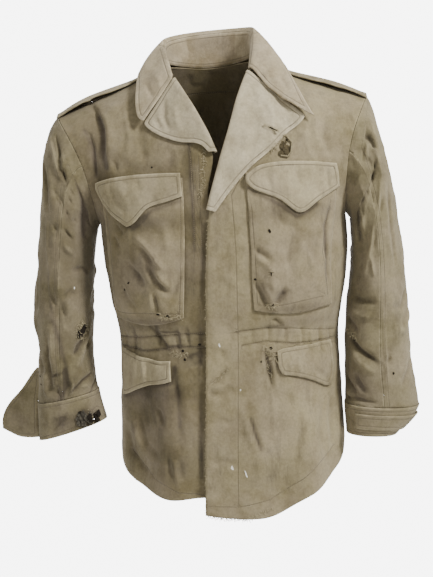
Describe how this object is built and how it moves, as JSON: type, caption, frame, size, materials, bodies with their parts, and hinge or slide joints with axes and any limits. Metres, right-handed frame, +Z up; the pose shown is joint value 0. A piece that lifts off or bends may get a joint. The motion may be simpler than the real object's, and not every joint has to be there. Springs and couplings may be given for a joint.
{
  "type": "field jacket",
  "caption": "Worn cotton field jacket standing hollow as if worn, open collar and lapels, flapped bellows chest pockets, drawn-in waist, shoulder straps and cuffs.",
  "frame": {"origin": "middle of the neck opening, level with the points where neck and shoulder meet, which is where the wearer's shoulders hold the jacket", "axes": "+Z up, -Y the front of the jacket, +X the wearer's left"},
  "size_m": [0.6755, 0.2823, 0.7581],
  "materials": {
    "body_cloth": "faded cotton sateen, matt, stained and creased",
    "sleeve_cloth": "faded cotton sateen, matt, creased",
    "lapel_cloth": "sun-faded cotton, matt",
    "collar_cloth": "sun-faded and rubbed cotton, matt",
    "flap_cloth": "faded doubled cotton, matt",
    "cuff_cloth": "soiled doubled cotton, matt, frayed"
  },
  "bodies": {
    "root": {"front_left": "body_cloth", "front_right": "body_cloth", "back": "body_cloth", "top_sleeve_left": "sleeve_cloth", "top_sleeve_right": "sleeve_cloth", "under_sleeve_left": "sleeve_cloth", "under_sleeve_right": "sleeve_cloth", "cuff_left": "cuff_cloth", "cuff_right": "cuff_cloth", "chest_pocket_left": "body_cloth", "chest_pocket_right": "body_cloth", "chest_flap_left": "flap_cloth", "chest_flap_right": "flap_cloth", "skirt_flap_left": "flap_cloth", "skirt_flap_right": "flap_cloth", "lapel_left": "lapel_cloth", "lapel_right": "lapel_cloth", "collar_stand": "collar_cloth", "collar_leaf": "collar_cloth", "shoulder_strap_left": "flap_cloth", "shoulder_strap_right": "flap_cloth", "cuff_vent_right": "cuff_cloth", "cuff_tab_left": "cuff_cloth"}
  },
  "joints": []
}
